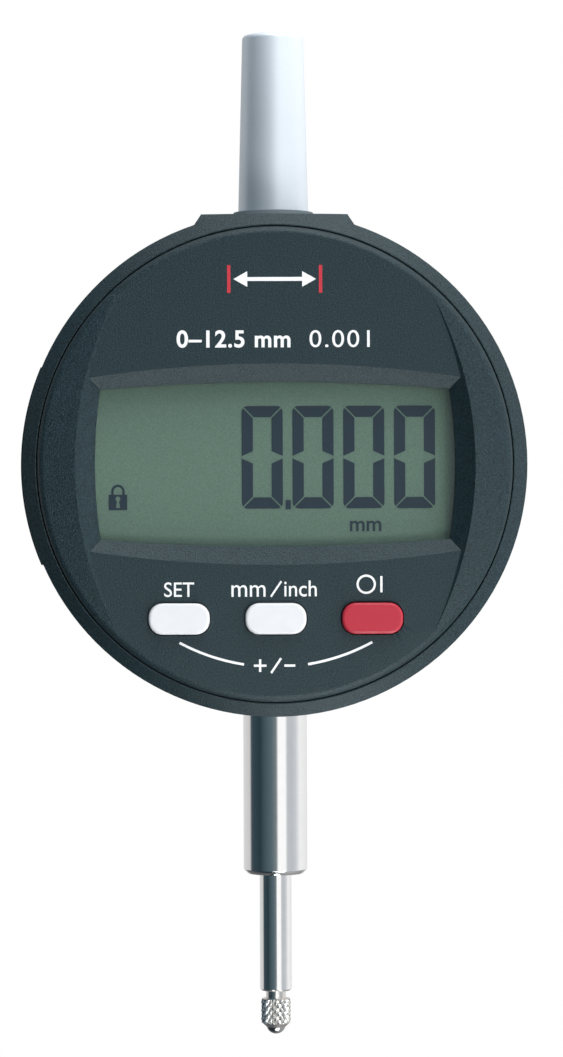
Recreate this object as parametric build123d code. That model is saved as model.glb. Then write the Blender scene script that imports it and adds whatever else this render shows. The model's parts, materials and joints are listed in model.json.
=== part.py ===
from build123d import *
from math import cos, radians, sin, tan
import os

# Digital dial indicator.  Lengths are in millimetres.
# The shapes are built in the case frame: X to the right, Y towards the back, Z up, with the
# case centre at (0, 0, 0) and the spindle on the Z axis.  write() lifts every part so that the
# row's origin lies on the spindle axis at the middle of the clamping stem's plain length.

# ---- case -------------------------------------------------------------------------------
CASE_R = 31.0
CASE_FRONT_Y = -12.4
CASE_BACK_Y = 10.2
FRONT_SLOPE_R = 29.4
FRONT_SLOPE_RISE = 0.82
BACK_CHAMFER = 0.8
HEAD_BORE_R = 29.25
DECK_FRONT_Y = -5.4
DECK_BACK_Y = -4.2
CHAMBER_R = 28.0
LEDGE_Y = 8.2
COVER_R = 29.2
COVER_THICK = 1.5
CABLE_HOLE_R = 3.0
BOSS_TOP_Z = 30.75
BOSS_HALF_W = 9.0
BOSS_FOOT_HALF_W = 9.9
BOSS_FOOT_Z = 29.3
SEAT_HALF_W = 6.0
SEAT_BACK_Y = 6.0
SEAT_Z = 25.5
POST_AT = 17.7
POST_R = 2.4
POST_HOLE_R = 0.95

# ---- stem and spindle -------------------------------------------------------------------
STEM_R = 4.0
STEM_TOP_Z = -30.45
STEM_END_Z = -51.3
STEM_CHAMFER = 0.5
STEM_NECK_R = 3.5
STEM_NECK_TOP_Z = -15.0
STEM_BORE_R = 2.6
BUSH_R = 3.0
BUSH_LENGTH = 9.0
WIPER_THICK = 0.8
NUT_THICK = 2.6
NUT_FLATS = 9.4
NUT_POCKET_FRONT_Y = -4.85
NUT_POCKET_HALF_W = 5.6
BUMPER_THICK = 1.4
SPINDLE_R = 2.0
RUNNING_GAP = 0.03
SPINDLE_END_Z = -66.05
SPINDLE_TOP_Z = 40.0
TRAVEL = 12.5
STUD_R = 1.0
STUD_LENGTH = 5.0
TIP_Z = -71.55
TIP_NECK_R = 1.25
TIP_NECK_END_Z = -67.1
TIP_BODY_R = 1.87
TIP_BODY_END_Z = -70.15
BALL_R = 1.25

# ---- guard cap --------------------------------------------------------------------------
CAP_BASE_R = 4.4
CAP_TOP_R = 3.85
CAP_TOP_Z = 54.0
CAP_EDGE_ROUND = 0.6
CAP_BORE_R = 2.6
CAP_WALL_TOP = 1.0
NIPPLE_R = 3.2
NIPPLE_TOP_Z = 34.0
WASHER_R = 5.28
WASHER_THICK = 1.0

# ---- carriage, scale and spring ---------------------------------------------------------
CARRIER_HALF_W = 3.5
CARRIER_FRONT_Y = -3.4
CARRIER_BACK_Y = 4.4
CARRIER_BOTTOM_Z = -13.4
CARRIER_LENGTH = 12.0
SCALE_THICK = 0.7
SCALE_HALF_W = 2.5
SCALE_BOTTOM_Z = -12.4
SCALE_LENGTH = 24.0
PIN_R = 1.0
PIN_END_X = 8.6
RAIL_NEAR_X = 6.6
RAIL_FAR_X = 9.4
RAIL_HALF_DEPTH = 2.6
RAIL_BOTTOM_Z = -16.0
RAIL_TOP_Z = 14.0
SPRING_WIRE_R = 0.2
SPRING_R = 2.75
SPRING_TURNS = 16
BUSH_FLANGE_Z = 24.0
BUSH_FLANGE_R = 4.2

# ---- reading head electronics -----------------------------------------------------------
BOARD_FRONT_Y = 6.2
BOARD_THICK = 0.8
BOARD_LEFT_X = -3.5
BOARD_RIGHT_X = 15.0
BOARD_BOTTOM_Z = -12.0
BOARD_TOP_Z = 20.0
STANDOFF_R = 1.6
STANDOFFS_XZ = [(12.5, -9.5), (12.5, 17.2), (6.0, 17.2)]
CABLE_THICK = 0.15
CABLE_HALF_W = 2.0

# ---- battery drawer ---------------------------------------------------------------------
CELL_R = 10.0
CELL_THICK = 3.2
CELL_X = -17.0
CELL_FRONT_Y = 3.6
TRAY_HALF_H = 10.9
TRAY_FRONT_Y = 3.4
TRAY_BACK_Y = 7.5
TRAY_END_X = -6.2
DRAWER_GAP = 0.1
DRAWER_FACE_R = 31.9
DRAWER_FACE_INNER_R = 29.9
DRAWER_FACE_HALF_H = 12.45
DRAWER_FACE_FRONT_Y = 1.0
DRAWER_FACE_BACK_Y = 9.0
BAY_FRONT_Y = 1.4
BAY_WALL = 0.8

# ---- rotating display head --------------------------------------------------------------
HEAD_R = 29.13
HEAD_ROUND_R = 1.05
HEAD_BACK_Y = -5.6
HEAD_INNER_R = 27.4
BAND_Y = -13.35
CRESCENT_TILT = 8.5
RIDGE_HALF_W = 23.85
RIDGE_R = 49.0
RIDGE_WIDENING = 1.04
PLATE_BACK_Y = -11.2
WINDOW_FLOOR_Y = -12.1
WINDOW_OUTER_CORNER_Z = 10.6
WINDOW_OUTER_TOP = 12.3
WINDOW_INNER = {"corner": (21.4, 9.2), "top": 10.1, "side": 22.1}
LENS_FLANGE_Y = -10.7
LCD_HALF_W = 23.0
LCD_HALF_H = 11.6
LCD_BACK_Y = -9.35
LCD_GAP = 0.05
DISPLAY_BOARD_FRONT_Y = -7.9
DISPLAY_BOARD_BACK_Y = -6.9
BACK_PLATE_FRONT_Y = -6.3
HEAD_POSTS_XZ = [(-18.8, -17.3), (-18.8, 17.3), (18.8, -17.3), (18.8, 17.3)]
HEAD_POST_R = 1.6
HEAD_SCREW_R = 0.6
KEY_W = 7.45
KEY_H = 3.8
KEY_CORNER_R = 1.7
KEY_Z = -18.85
KEY_PITCH = 11.8
KEY_FRONT_Y = -14.25
KEY_TRAVEL = 0.5
KEY_GAP = 0.15
SNAP_Y = (-9.5, -8.8)
SNAP_R = (28.6, 29.7)
ORING_Y = -6.7
ORING_WIRE_R = 0.48

ORIGIN_DROP = (STEM_TOP_Z + STEM_END_Z + STEM_CHAMFER) / -2


# ---- helpers ----------------------------------------------------------------------------
def block(x0, x1, y0, y1, z0, z1):
    """A box given by its six faces."""
    size = Box(x1 - x0, y1 - y0, z1 - z0)
    return Pos((x0 + x1) / 2, (y0 + y1) / 2, (z0 + z1) / 2) * size


def rod_y(radius, y0, y1, x=0.0, z=0.0):
    """A cylinder along Y."""
    return Pos(x, (y0 + y1) / 2, z) * Rot(90, 0, 0) * Cylinder(radius, y1 - y0)


def rod_x(radius, x0, x1, y=0.0, z=0.0):
    """A cylinder along X."""
    return Pos((x0 + x1) / 2, y, z) * Rot(0, 90, 0) * Cylinder(radius, x1 - x0)


def rod_z(radius, z0, z1, x=0.0, y=0.0):
    """A cylinder along Z."""
    return Pos(x, y, (z0 + z1) / 2) * Cylinder(radius, z1 - z0)


def tube_y(outer, inner, y0, y1):
    return rod_y(outer, y0, y1) - rod_y(inner, y0, y1)


def tube_z(outer, inner, z0, z1):
    return rod_z(outer, z0, z1) - rod_z(inner, z0, z1)


def turned_y(points):
    """Turn a closed (radius, y) outline about the Y axis."""
    outline = make_face(Polyline(*points, close=True))
    return revolve(outline, Axis.Y)


def turned_z(points):
    """Turn a closed (radius, z) outline about the Z axis."""
    outline = make_face(Plane.XZ * Polyline(*points, close=True))
    return revolve(outline, Axis.Z)


def facing_front(sketch, y):
    """Place a flat sketch drawn in (x, z) at a depth y."""
    return Plane(origin=(0, y, 0), x_dir=(1, 0, 0), z_dir=(0, -1, 0)) * sketch


def prism(sketch, y0, y1):
    """Extrude a sketch drawn in (x, z) from depth y0 back to y1."""
    return extrude(facing_front(sketch, y1), y1 - y0)


def write(node, shape):
    """Write one node; a list holds the separate solids of a node that repeats a piece."""
    lift = Pos(0, 0, ORIGIN_DROP)
    if isinstance(shape, list):
        placed = Compound([lift * solid for solid in shape])
    else:
        placed = lift * shape
    export_step(placed, f"parts/{node}.step")


# ---- case parts -------------------------------------------------------------------------
def case_blank(radius):
    """The case's turned outside, whose sloped front and back edges run on to any radius."""
    front_edge_y = CASE_FRONT_Y + (radius - FRONT_SLOPE_R) * FRONT_SLOPE_RISE
    back_edge_y = CASE_BACK_Y - BACK_CHAMFER - (radius - CASE_R)
    return turned_y([
        (0, CASE_FRONT_Y),
        (FRONT_SLOPE_R, CASE_FRONT_Y),
        (radius, front_edge_y),
        (radius, back_edge_y),
        (CASE_R - BACK_CHAMFER, CASE_BACK_Y),
        (0, CASE_BACK_Y),
    ])


def top_boss():
    """The flat-topped shoulder that carries the guard cap."""
    outline = make_face(Polyline(
        (-BOSS_FOOT_HALF_W, BOSS_FOOT_Z),
        (-BOSS_HALF_W, BOSS_TOP_Z),
        (BOSS_HALF_W, BOSS_TOP_Z),
        (BOSS_FOOT_HALF_W, BOSS_FOOT_Z),
        (BOSS_FOOT_HALF_W, CHAMBER_R - 6),
        (-BOSS_FOOT_HALF_W, CHAMBER_R - 6),
        close=True,
    ))
    wide_blank = case_blank(CASE_R + 3)
    return wide_blank & prism(outline, CASE_FRONT_Y, CASE_BACK_Y)


def drawer_face(inner_r, outer_r, half_h, front_y, back_y):
    """A strip of the case's left wall, concentric with the case."""
    ring = tube_y(outer_r, inner_r, front_y, back_y)
    return ring & block(-CASE_R - 5, -CASE_R / 2, front_y, back_y, -half_h, half_h)


def post_places():
    return [(sx * POST_AT, sz * POST_AT) for sx in (-1, 1) for sz in (-1, 1)]


def case_housing():
    body = case_blank(CASE_R) + top_boss()
    body -= block(-CASE_R, CASE_R, CASE_FRONT_Y - 1, CASE_BACK_Y + 1, BOSS_TOP_Z, CASE_R + 1)
    body -= rod_y(HEAD_BORE_R, CASE_FRONT_Y - 1, DECK_FRONT_Y)
    body -= tube_y(SNAP_R[1] + 0.05, HEAD_BORE_R - 1, SNAP_Y[0] - 0.1, SNAP_Y[1] + 0.1)
    body -= rod_y(CHAMBER_R, DECK_BACK_Y, CASE_BACK_Y + 1)
    body -= rod_y(COVER_R + 0.05, LEDGE_Y, CASE_BACK_Y + 1)
    body -= rod_y(CABLE_HOLE_R, DECK_FRONT_Y - 1, DECK_BACK_Y + 1)
    inside = rod_y(CHAMBER_R + 0.5, DECK_BACK_Y, SEAT_BACK_Y)
    for side in (-1, 1):
        low, high = sorted((side * SEAT_Z, side * CASE_R))
        seat = block(-SEAT_HALF_W, SEAT_HALF_W, DECK_BACK_Y, SEAT_BACK_Y, low, high)
        body += seat & inside
    for x, z in post_places():
        body += rod_y(POST_R, DECK_BACK_Y, CASE_BACK_Y - COVER_THICK, x, z)
        body -= rod_y(POST_HOLE_R, 3.5, CASE_BACK_Y, x, z)
    body -= rod_z(2 * STEM_R, -CASE_R - 1, STEM_TOP_Z)
    body -= rod_z(STEM_NECK_R, -CASE_R - 1, -SEAT_Z + 1)
    body -= rod_z(NIPPLE_R, SEAT_Z - 1, BOSS_TOP_Z + 1)
    body -= block(
        -NUT_POCKET_HALF_W, NUT_POCKET_HALF_W, NUT_POCKET_FRONT_Y, DECK_BACK_Y,
        -SEAT_Z, -SEAT_Z + NUT_THICK + DRAWER_GAP,
    )
    body -= drawer_face(
        DRAWER_FACE_INNER_R - 0.05, CASE_R + 2, DRAWER_FACE_HALF_H + DRAWER_GAP,
        DRAWER_FACE_FRONT_Y - DRAWER_GAP, DRAWER_FACE_BACK_Y + DRAWER_GAP,
    )
    slot_h = TRAY_HALF_H + DRAWER_GAP
    body -= block(-CASE_R, CELL_X, TRAY_FRONT_Y - DRAWER_GAP, TRAY_BACK_Y + DRAWER_GAP, -slot_h, slot_h)
    for z in rail_screw_heights():
        body -= rod_y(HEAD_SCREW_R, DECK_FRONT_Y + 0.3, DECK_BACK_Y, rail_mid_x(), z)
    return body


def back_cover():
    cover = rod_y(COVER_R, CASE_BACK_Y - COVER_THICK, CASE_BACK_Y)
    cover = chamfer(cover.edges().group_by(Axis.Y)[-1], 0.3)
    cover -= rod_y(14.0, CASE_BACK_Y - 0.3, CASE_BACK_Y) - rod_y(13.0, CASE_BACK_Y - 0.3, CASE_BACK_Y)
    for x, z in post_places():
        cover -= countersunk_screw_shape(x, z)
    return cover


def countersunk_screw_shape(x, z):
    """An M2 countersunk screw along Y, its head just below the cover's face."""
    head_y = CASE_BACK_Y - 0.2
    outline = [
        (0, 4.0),
        (POST_HOLE_R, 4.0),
        (POST_HOLE_R, head_y - 1.0),
        (1.9, head_y),
        (1.9, CASE_BACK_Y),
        (0, CASE_BACK_Y),
    ]
    return Pos(x, 0, z) * turned_y(outline)


def cover_screw(x, z):
    head_y = CASE_BACK_Y - 0.2
    screw = countersunk_screw_shape(x, z) - rod_y(3, head_y, CASE_BACK_Y + 1, x, z)
    for angle in (0, 90):
        slot = Pos(x, head_y, z) * Rot(0, angle, 0) * Box(2.0, 1.0, 0.45)
        screw -= slot
    return screw


def cover_gasket():
    return tube_y(COVER_R, CHAMBER_R + 0.05, LEDGE_Y, CASE_BACK_Y - COVER_THICK)


# ---- stem parts -------------------------------------------------------------------------
def clamping_stem():
    wiper_z = STEM_END_Z + 0.2
    return turned_z([
        (STEM_BORE_R, STEM_NECK_TOP_Z),
        (STEM_NECK_R, STEM_NECK_TOP_Z),
        (STEM_NECK_R, STEM_TOP_Z),
        (STEM_R, STEM_TOP_Z),
        (STEM_R, STEM_END_Z + STEM_CHAMFER),
        (STEM_R - STEM_CHAMFER, STEM_END_Z),
        (BUSH_R, STEM_END_Z),
        (BUSH_R, wiper_z + WIPER_THICK + BUSH_LENGTH),
        (STEM_BORE_R, wiper_z + WIPER_THICK + BUSH_LENGTH),
    ])


def wiper_seal():
    wiper_z = STEM_END_Z + 0.2
    return tube_z(BUSH_R, SPINDLE_R + RUNNING_GAP, wiper_z, wiper_z + WIPER_THICK)


def lower_bushing():
    bottom = STEM_END_Z + 0.2 + WIPER_THICK
    return tube_z(BUSH_R, SPINDLE_R + RUNNING_GAP, bottom, bottom + BUSH_LENGTH)


def stem_nut():
    hexagon = RegularPolygon(NUT_FLATS / 2, 6, major_radius=False)
    nut = extrude(Pos(0, 0, -SEAT_Z) * hexagon, NUT_THICK)
    return nut - rod_z(STEM_NECK_R, -SEAT_Z - 1, -SEAT_Z + NUT_THICK + 1)


def stop_bumper():
    return tube_z(STEM_NECK_R, SPINDLE_R + 0.2, STEM_NECK_TOP_Z, STEM_NECK_TOP_Z + BUMPER_THICK)


def upper_bushing():
    return turned_z([
        (SPINDLE_R + RUNNING_GAP, BUSH_FLANGE_Z),
        (BUSH_FLANGE_R, BUSH_FLANGE_Z),
        (BUSH_FLANGE_R, SEAT_Z),
        (NIPPLE_R, SEAT_Z),
        (NIPPLE_R, NIPPLE_TOP_Z),
        (SPINDLE_R + RUNNING_GAP, NIPPLE_TOP_Z),
    ])


# ---- guard cap --------------------------------------------------------------------------
def cap_washer():
    return turned_z([
        (NIPPLE_R, BOSS_TOP_Z),
        (WASHER_R, BOSS_TOP_Z),
        (WASHER_R - 0.3, BOSS_TOP_Z + WASHER_THICK),
        (NIPPLE_R, BOSS_TOP_Z + WASHER_THICK),
    ])


def guard_cap():
    base_z = BOSS_TOP_Z + WASHER_THICK
    outside = turned_z([(0, base_z), (CAP_BASE_R, base_z), (CAP_TOP_R, CAP_TOP_Z), (0, CAP_TOP_Z)])
    outside = fillet(outside.edges().group_by(Axis.Z)[-1], CAP_EDGE_ROUND)
    bore = rod_z(CAP_BORE_R, base_z, CAP_TOP_Z - CAP_WALL_TOP)
    thread = rod_z(NIPPLE_R + 0.02, base_z, NIPPLE_TOP_Z + 0.5)
    return outside - bore - thread


# ---- spindle parts ----------------------------------------------------------------------
def spindle():
    rod = rod_z(SPINDLE_R, SPINDLE_END_Z, SPINDLE_TOP_Z)
    rod = chamfer(rod.edges().filter_by(GeomType.CIRCLE), 0.2)
    return rod - rod_z(STUD_R, SPINDLE_END_Z - 1, SPINDLE_END_Z + STUD_LENGTH + 0.5)


def ball_solid():
    return Pos(0, 0, TIP_Z + BALL_R) * Sphere(BALL_R)


def contact_point():
    holder = turned_z([
        (0, SPINDLE_END_Z + STUD_LENGTH),
        (STUD_R, SPINDLE_END_Z + STUD_LENGTH),
        (STUD_R, SPINDLE_END_Z),
        (TIP_NECK_R, SPINDLE_END_Z),
        (TIP_NECK_R, TIP_NECK_END_Z),
        (TIP_BODY_R - 0.2, TIP_NECK_END_Z),
        (TIP_BODY_R, TIP_NECK_END_Z - 0.2),
        (TIP_BODY_R, TIP_BODY_END_Z),
        (BALL_R - 0.05, TIP_BODY_END_Z - 0.5),
        (0, TIP_BODY_END_Z - 0.5),
    ])
    return holder - ball_solid()


def scale_carrier():
    top = CARRIER_BOTTOM_Z + CARRIER_LENGTH
    carrier = block(
        -CARRIER_HALF_W, CARRIER_HALF_W, CARRIER_FRONT_Y, CARRIER_BACK_Y, CARRIER_BOTTOM_Z, top,
    )
    carrier = chamfer(carrier.edges().filter_by(Axis.Z), 0.4)
    carrier -= rod_z(SPINDLE_R, CARRIER_BOTTOM_Z - 1, top + 1)
    carrier -= rod_x(PIN_R, pin_start_x(), PIN_END_X, z=pin_z())
    for z in clamp_screw_heights():
        carrier -= rod_x(0.8, -CARRIER_HALF_W, -SPINDLE_R + 0.3, z=z)
    return carrier


def clamp_screw_heights():
    return [CARRIER_BOTTOM_Z + CARRIER_LENGTH * share for share in (0.25, 0.75)]


def carrier_screw(z):
    """A socket set screw that clamps the carrier on the spindle."""
    screw = rod_x(0.8, -CARRIER_HALF_W, -SPINDLE_R - 0.02, z=z)
    return screw - rod_x(0.4, -CARRIER_HALF_W, -CARRIER_HALF_W + 0.6, z=z)


def pin_z():
    return CARRIER_BOTTOM_Z + CARRIER_LENGTH / 2


def pin_start_x():
    return SPINDLE_R + 0.3


def guide_pin():
    return rod_x(PIN_R, pin_start_x(), PIN_END_X, z=pin_z())


def measuring_scale():
    return block(
        -SCALE_HALF_W, SCALE_HALF_W, CARRIER_BACK_Y, CARRIER_BACK_Y + SCALE_THICK,
        SCALE_BOTTOM_Z, SCALE_BOTTOM_Z + SCALE_LENGTH,
    )


def return_spring():
    """Pushes the spindle out: its top end bears on the upper bushing, its foot on the carrier."""
    foot = CARRIER_BOTTOM_Z + CARRIER_LENGTH + SPRING_WIRE_R + 0.02
    height = BUSH_FLANGE_Z - SPRING_WIRE_R - 0.02 - foot
    path = Helix(height / SPRING_TURNS, height, SPRING_R)
    wire = Plane(path @ 0, z_dir=path % 0) * Circle(SPRING_WIRE_R)
    return Pos(0, 0, foot) * sweep(wire, path=path)


# ---- guide rail -------------------------------------------------------------------------
def rail_mid_x():
    return (RAIL_NEAR_X + RAIL_FAR_X) / 2


def rail_screw_heights():
    return [RAIL_BOTTOM_Z + 1.7, RAIL_TOP_Z - 1.7]


def guide_rail():
    """A slotted bar on two feet; the guide pin runs in its slot, so the spindle can't turn."""
    rail = block(
        RAIL_NEAR_X, RAIL_FAR_X, -RAIL_HALF_DEPTH, RAIL_HALF_DEPTH, RAIL_BOTTOM_Z, RAIL_TOP_Z,
    )
    slot_w = PIN_R + RUNNING_GAP
    rail -= block(
        RAIL_NEAR_X, RAIL_FAR_X - 0.6, -slot_w, slot_w,
        pin_z() - PIN_R - 0.8, pin_z() + TRAVEL + PIN_R + 0.8,
    )
    for z in rail_screw_heights():
        rail += block(RAIL_NEAR_X, RAIL_FAR_X, DECK_BACK_Y, 0, z - 1.7, z + 1.7)
        rail -= rod_y(HEAD_SCREW_R, DECK_BACK_Y - 1, RAIL_HALF_DEPTH + 1, rail_mid_x(), z)
    return rail


def pan_screw(x, z, tip_y, seat_y, shank_r, head_r, head_h):
    """A pan-head screw along Y with a cross recess, its head towards the back."""
    screw = rod_y(shank_r, tip_y, seat_y, x, z) + rod_y(head_r, seat_y, seat_y + head_h, x, z)
    for angle in (0, 90):
        screw -= Pos(x, seat_y + head_h, z) * Rot(0, angle, 0) * Box(head_r, head_h, head_r / 4)
    return screw


# ---- reading head electronics -----------------------------------------------------------
def standoff(x, z):
    """A threaded standoff from the deck to the sensor board."""
    return rod_y(STANDOFF_R, DECK_BACK_Y, BOARD_FRONT_Y, x, z) - rod_y(0.8, 2.0, BOARD_FRONT_Y, x, z)


def sensor_board():
    board = block(
        BOARD_LEFT_X, BOARD_RIGHT_X, BOARD_FRONT_Y, BOARD_FRONT_Y + BOARD_THICK,
        BOARD_BOTTOM_Z, BOARD_TOP_Z,
    )
    for x, z in STANDOFFS_XZ:
        board -= rod_y(0.8, BOARD_FRONT_Y - 1, BOARD_FRONT_Y + BOARD_THICK + 1, x, z)
    return board


def reading_head():
    """The sensor that reads the scale across a small gap."""
    scale_back = CARRIER_BACK_Y + SCALE_THICK
    return block(-3.0, 5.0, scale_back + 0.3, BOARD_FRONT_Y, -2.0, 8.0)


def flex_cable():
    """A folded ribbon from the display, through the deck, to the sensor board."""
    deck_y = DECK_BACK_Y + 0.05
    bend_x = BOARD_RIGHT_X - 0.6
    ribbon = block(-1, bend_x, deck_y, deck_y + CABLE_THICK, -CABLE_HALF_W, CABLE_HALF_W)
    ribbon += block(
        bend_x - CABLE_THICK, bend_x, deck_y, BOARD_FRONT_Y, -CABLE_HALF_W, CABLE_HALF_W,
    )
    ribbon += block(
        -1, -1 + CABLE_THICK, DECK_FRONT_Y - 0.1, deck_y + CABLE_THICK, -CABLE_HALF_W, CABLE_HALF_W,
    )
    return ribbon


# ---- battery drawer ---------------------------------------------------------------------
def battery_drawer():
    tray = block(-CASE_R, TRAY_END_X, TRAY_FRONT_Y, TRAY_BACK_Y, -TRAY_HALF_H, TRAY_HALF_H)
    tray &= rod_y(DRAWER_FACE_INNER_R + 0.5, TRAY_FRONT_Y, TRAY_BACK_Y)
    face = drawer_face(
        DRAWER_FACE_INNER_R, DRAWER_FACE_R, DRAWER_FACE_HALF_H, DRAWER_FACE_FRONT_Y, DRAWER_FACE_BACK_Y,
    )
    drawer = tray + face
    drawer -= rod_y(CELL_R + 0.1, TRAY_FRONT_Y - 1, CELL_FRONT_Y + CELL_THICK + 0.05, CELL_X)
    drawer -= block(CELL_X, TRAY_END_X + 1, TRAY_FRONT_Y - 1, CELL_FRONT_Y + CELL_THICK + 0.05, -3, 3)
    for step in range(-2, 3):
        grip_x = -DRAWER_FACE_R - 0.15
        drawer -= rod_y(0.35, DRAWER_FACE_FRONT_Y + 1.5, DRAWER_FACE_BACK_Y - 1.5, grip_x + 0.04 * step**2, 1.4 * step)
    return drawer


def battery_cell():
    cell = rod_y(CELL_R, CELL_FRONT_Y, CELL_FRONT_Y + CELL_THICK, CELL_X)
    cell -= tube_y(CELL_R + 1, CELL_R - 1.2, CELL_FRONT_Y, CELL_FRONT_Y + 0.3).moved(Location((CELL_X, 0, 0)))
    return cell


def battery_bay():
    """The fixed cradle that the drawer slides in."""
    wall_h = TRAY_HALF_H + DRAWER_GAP
    inner_y = TRAY_FRONT_Y - 0.6
    end_x = TRAY_END_X + 0.15
    bay = block(-26.0, end_x + BAY_WALL, BAY_FRONT_Y, TRAY_BACK_Y + 0.4, -wall_h - BAY_WALL, wall_h + BAY_WALL)
    bay -= block(-27.0, end_x, inner_y, TRAY_BACK_Y + 1, -wall_h, wall_h)
    bay &= rod_y(CHAMBER_R, BAY_FRONT_Y, TRAY_BACK_Y + 0.4)
    for z in (-wall_h - BAY_WALL, wall_h):
        bay += block(-24.0, -20.0, DECK_BACK_Y, BAY_FRONT_Y, z, z + BAY_WALL)
    return bay


def battery_contacts():
    """The minus leaf under the cell and the plus leaf at its inner edge."""
    floor_y = TRAY_FRONT_Y - 0.6
    minus = block(CELL_X - 5, CELL_X + 5, floor_y, floor_y + 0.3, -1.5, 1.5)
    plus = block(CELL_X + CELL_R + 0.1, TRAY_END_X + 0.15, 4.4, 6.2, -1.5, 1.5)
    return [minus, plus]


# ---- display head -----------------------------------------------------------------------
def four_arc_outline(corner, top, side):
    """A rectangle whose four sides bow outwards."""
    x, z = corner
    return make_face([
        ThreePointArc((-x, z), (0, top), (x, z)),
        ThreePointArc((x, z), (side, 0), (x, -z)),
        ThreePointArc((x, -z), (0, -top), (-x, -z)),
        ThreePointArc((-x, -z), (-side, 0), (-x, z)),
    ])


def band_outline(half_w):
    """The central band: two long arcs, closed beyond the head."""
    reach = HEAD_R + 1
    x = ridge_x(reach) + half_w - RIDGE_HALF_W
    return make_face([
        Line((-x, reach), (x, reach)),
        ThreePointArc((x, reach), (half_w, 0), (x, -reach)),
        Line((x, -reach), (-x, -reach)),
        ThreePointArc((-x, -reach), (-half_w, 0), (-x, reach)),
    ])


def ridge_x(z):
    """Half the central band's width at a height z."""
    return RIDGE_HALF_W - RIDGE_R + (RIDGE_R**2 - z**2) ** 0.5


def rim_arc_centre():
    """Where the head's rounded rim has its centre, as (radius, y)."""
    return HEAD_R - HEAD_ROUND_R, BAND_Y + HEAD_ROUND_R * cos(radians(CRESCENT_TILT))


def rim_point(turned):
    """A point on the rounded rim, an angle in degrees round from straight ahead, as (radius, y)."""
    radius, y = rim_arc_centre()
    return radius + HEAD_ROUND_R * sin(radians(turned)), y - HEAD_ROUND_R * cos(radians(turned))


def dome_top_y():
    """Where the sloping crescents would meet in front of the head's centre."""
    return BAND_Y - rim_point(CRESCENT_TILT)[0] * tan(radians(CRESCENT_TILT))


def head_blank():
    """The head's turned outside: a shallow cone, a rounded rim and a straight side."""
    rim = [rim_point(angle) for angle in (CRESCENT_TILT, 50, 90)]
    outline = make_face([
        Line((0, dome_top_y()), rim[0]),
        ThreePointArc(*rim),
        Polyline(rim[2], (HEAD_R, HEAD_BACK_Y), (0, HEAD_BACK_Y), (0, dome_top_y())),
    ])
    return revolve(outline, Axis.Y)


def band_cutter():
    """What the central band takes away from the domed front, with sloping side walls."""
    rise = BAND_Y - dome_top_y() + 1
    wide = facing_front(band_outline(RIDGE_HALF_W + rise * RIDGE_WIDENING), BAND_Y - rise)
    narrow = facing_front(band_outline(RIDGE_HALF_W), BAND_Y)
    return loft([wide, narrow], ruled=True)


def window_cutter():
    """The bevelled recess round the display and the opening in its floor."""
    corner = (ridge_x(WINDOW_OUTER_CORNER_Z), WINDOW_OUTER_CORNER_Z)
    outer = facing_front(four_arc_outline(corner, WINDOW_OUTER_TOP, RIDGE_HALF_W), BAND_Y)
    inner = facing_front(four_arc_outline(**WINDOW_INNER), WINDOW_FLOOR_Y)
    recess = loft([outer, inner], ruled=True)
    opening = prism(four_arc_outline(**WINDOW_INNER), WINDOW_FLOOR_Y, PLATE_BACK_Y + 1)
    return recess + opening


def key_outline(grow=0.0):
    return RectangleRounded(KEY_W + 2 * grow, KEY_H + 2 * grow, KEY_CORNER_R + grow)


def key_places():
    return [-KEY_PITCH, 0.0, KEY_PITCH]


def front_shell():
    shell = head_blank() - band_cutter() - window_cutter()
    shell -= rod_y(HEAD_INNER_R, PLATE_BACK_Y, HEAD_BACK_Y + 1)
    shell -= tube_y(HEAD_R + 1, SNAP_R[0] - 0.1, SNAP_Y[0] - 0.1, SNAP_Y[1] + 0.1)
    shell -= tube_y(HEAD_R + 1, HEAD_R - 2 * ORING_WIRE_R + 0.1, ORING_Y - 0.5, ORING_Y + 0.5)
    for x in key_places():
        shell -= prism(Pos(x, KEY_Z) * key_outline(KEY_GAP), BAND_Y - 1, PLATE_BACK_Y + 1)
    for x, z in HEAD_POSTS_XZ:
        shell += rod_y(HEAD_POST_R, PLATE_BACK_Y - 0.5, DISPLAY_BOARD_FRONT_Y, x, z)
        shell -= rod_y(HEAD_SCREW_R, PLATE_BACK_Y + 0.4, DISPLAY_BOARD_FRONT_Y, x, z)
    return shell


def window_lens():
    inset = 0.05
    x, z = WINDOW_INNER["corner"]
    face = four_arc_outline((x - inset, z - inset), WINDOW_INNER["top"] - inset, WINDOW_INNER["side"] - inset)
    lens = prism(face, WINDOW_FLOOR_Y + 0.1, PLATE_BACK_Y)
    flange = Rectangle(2 * LCD_HALF_W, 2 * LCD_HALF_H - 0.4)
    return lens + prism(flange, PLATE_BACK_Y, LENS_FLANGE_Y)


def lcd_panel():
    return prism(Rectangle(2 * LCD_HALF_W, 2 * LCD_HALF_H), LENS_FLANGE_Y + LCD_GAP, LCD_BACK_Y)


def lcd_reflector():
    return prism(Rectangle(45.0, 19.2), LCD_BACK_Y + LCD_GAP, LCD_BACK_Y + 0.9)


def lcd_frame():
    outer = Rectangle(2 * LCD_HALF_W + 1.6, 2 * LCD_HALF_H + 1.6)
    inner = Rectangle(2 * LCD_HALF_W + 0.1, 2 * LCD_HALF_H + 0.1)
    return prism(outer - inner, LENS_FLANGE_Y + LCD_GAP, DISPLAY_BOARD_FRONT_Y)


def zebra_connector(side):
    """A conducting rubber strip between the display's edge and the board."""
    strip = Pos(0, side * 10.6) * Rectangle(42.0, 1.4)
    return prism(strip, LCD_BACK_Y, DISPLAY_BOARD_FRONT_Y)


def display_board():
    board = rod_y(HEAD_INNER_R - 0.2, DISPLAY_BOARD_FRONT_Y, DISPLAY_BOARD_BACK_Y)
    for x, z in HEAD_POSTS_XZ:
        board -= rod_y(HEAD_SCREW_R, DISPLAY_BOARD_FRONT_Y - 1, DISPLAY_BOARD_BACK_Y + 1, x, z)
    return board


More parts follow.
